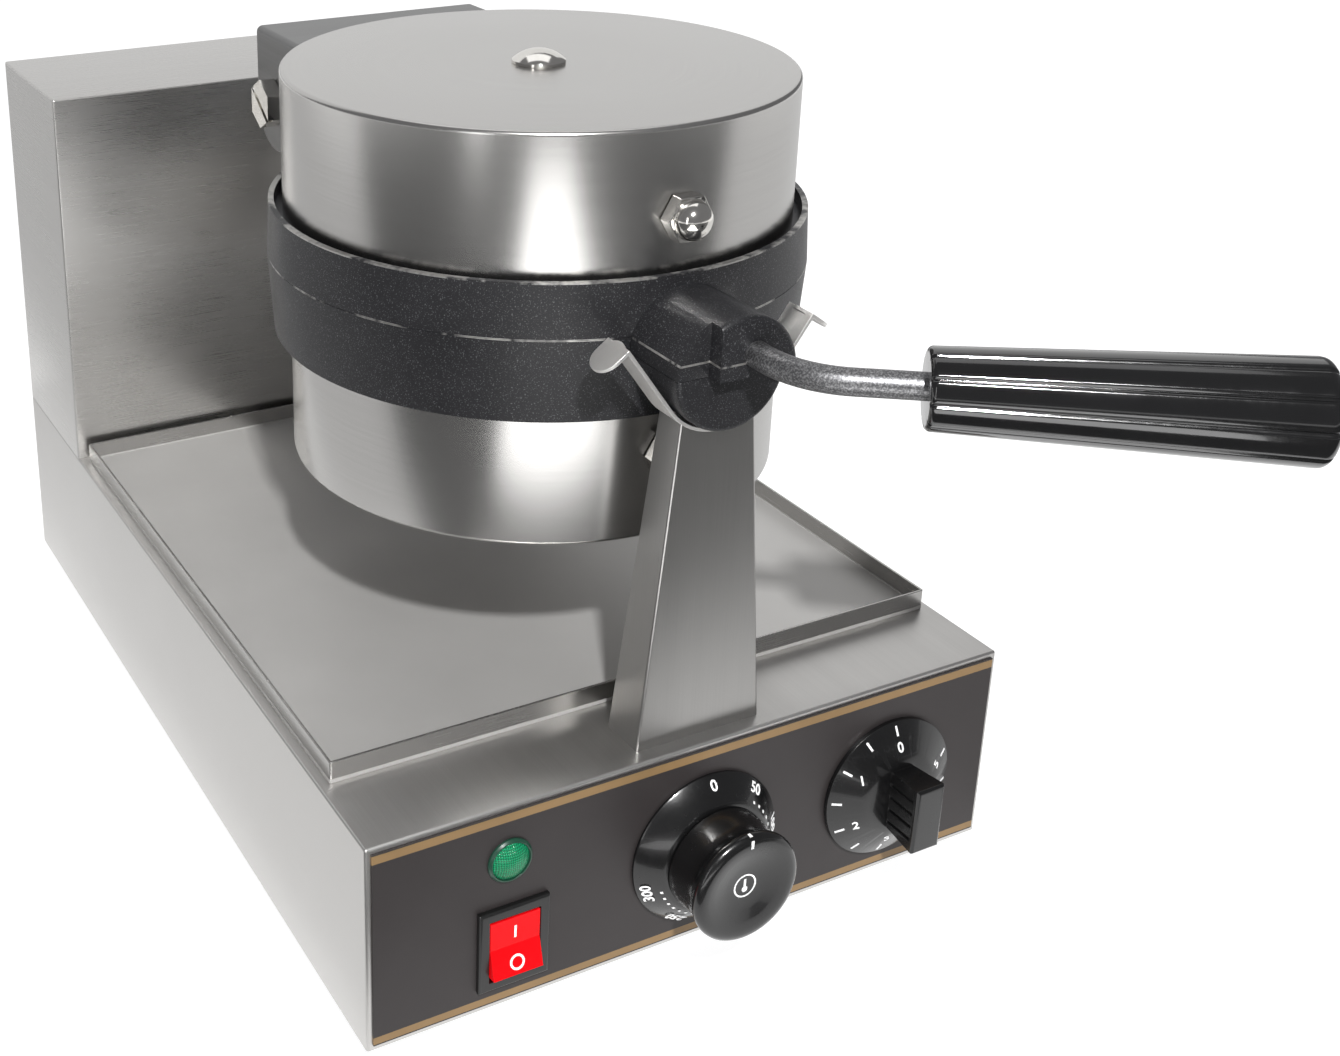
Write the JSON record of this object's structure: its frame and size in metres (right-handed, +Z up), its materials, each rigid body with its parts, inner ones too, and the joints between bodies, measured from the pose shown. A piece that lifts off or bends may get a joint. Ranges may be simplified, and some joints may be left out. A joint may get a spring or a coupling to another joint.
{
  "type": "waffle cone maker",
  "caption": "Countertop waffle cone maker: hinged round cooking plates in steel casings turn between a front post and a rear tower on a base with controls and a drip tray.",
  "frame": {"origin": "on the bench, in the middle of the four feet", "axes": "+Z up, +Y from the control panel towards the rear tower, +X to the right seen from the front"},
  "size_m": [0.2546, 0.5168, 0.2952],
  "materials": {
    "stainless": "satin brushed stainless sheet",
    "galvanised": "plain zinc-coated steel",
    "bracket_steel": "darker brushed steel",
    "bright_screws": "bright plated fasteners",
    "chrome_nut": "polished plated nut",
    "black_cast": "cast aluminium with a matte black speckled coating",
    "rod_steel": "dark speckled steel rod",
    "shaft_steel": "turned steel",
    "black_bakelite": "glossy black moulded grip",
    "black_plastic": "black moulded plastic",
    "panel_film": "dark brown-black printed overlay with tan stripes",
    "red_plastic": "red lit rocker",
    "green_lens": "green moulded lens",
    "lamp_bezel": "dark green moulded holder",
    "white_plastic": "pale moulded plastic",
    "rubber": "black rubber",
    "bronze": "sintered bronze bush",
    "housing_metal": "plain machined aluminium",
    "heater_steel": "oxidised steel tube heater",
    "mineral_wool": "pressed mineral wool"
  },
  "bodies": {
    "stand": {"base_shell": "stainless", "bottom_plate": "galvanised", "rubber_feet": "rubber", "foot_screws": "bright_screws", "foot_nuts": "bright_screws", "control_panel": "panel_film", "tower_shell": "stainless", "tower_back_cover": "stainless", "back_cover_screws": "bright_screws", "tower_screws": "bright_screws", "front_post": "stainless", "post_screws": "bright_screws", "cradle_clip": "stainless", "pilot_lamp_body": "lamp_bezel", "pilot_lamp_lens": "green_lens", "switch_housing": "black_plastic", "thermostat_body": "white_plastic", "thermostat_dial_ring": "black_plastic", "timer_body": "black_plastic", "cable_gland": "black_plastic", "gland_nut": "black_plastic", "terminal_block": "white_plastic", "bearing_housing": "housing_metal", "housing_screws": "bright_screws", "front_bush": "bronze", "rear_bush": "bronze"},
    "tray": {"drip_tray": "stainless"},
    "rocker": {"switch_rocker": "red_plastic"},
    "thermostat_control": {"thermostat_knob": "black_plastic", "thermostat_spindle": "shaft_steel"},
    "timer_control": {"timer_knob": "black_plastic", "timer_spindle": "shaft_steel"},
    "head": {"lower_plate": "black_cast", "lower_casing": "stainless", "lower_casing_screw": "bright_screws", "lower_strap": "galvanised", "lower_cap_nut": "chrome_nut", "lower_heater": "heater_steel", "lower_insulation": "mineral_wool", "hinge_yoke": "galvanised", "yoke_screws": "bright_screws", "hinge_screws": "bright_screws", "rotary_shaft": "shaft_steel", "flange_screws": "bright_screws", "shaft_collar": "shaft_steel"},
    "lid": {"upper_plate": "black_cast", "upper_casing": "stainless", "upper_casing_screw": "bright_screws", "upper_strap": "galvanised", "upper_cap_nut": "chrome_nut", "upper_heater": "heater_steel", "upper_insulation": "mineral_wool", "handle_rod": "rod_steel", "handle_grip": "black_bakelite", "hinge_bracket": "bracket_steel", "bracket_screws": "bright_screws"}
  },
  "joints": [
    {"name": "head_turn", "type": "hinge", "parent": "stand", "child": "head", "pos_m": [0, 0, 0.22], "axis": [0, -1, 0], "range_deg": [0, 180]},
    {"name": "lid_open", "type": "hinge", "parent": "head", "child": "lid", "pos_m": [0, 0.055, 0.253], "axis": [1, 0, 0], "range_deg": [-95, 0]},
    {"name": "thermostat_turn", "type": "hinge", "parent": "stand", "child": "thermostat_control", "pos_m": [0, -0.1888, 0.047], "axis": [0, 1, 0], "range_deg": [0, 250]},
    {"name": "timer_turn", "type": "hinge", "parent": "stand", "child": "timer_control", "pos_m": [0.078, -0.1888, 0.046], "axis": [0, 1, 0], "range_deg": [0, 290]},
    {"name": "rocker_tilt", "type": "hinge", "parent": "stand", "child": "rocker", "pos_m": [-0.0735, -0.1864, 0.0345], "axis": [1, 0, 0], "range_deg": [0, 16]},
    {"name": "tray_slide", "type": "slide", "parent": "stand", "child": "tray", "axis": [1, 0, 0], "range_m": [0, 0.25]}
  ]
}
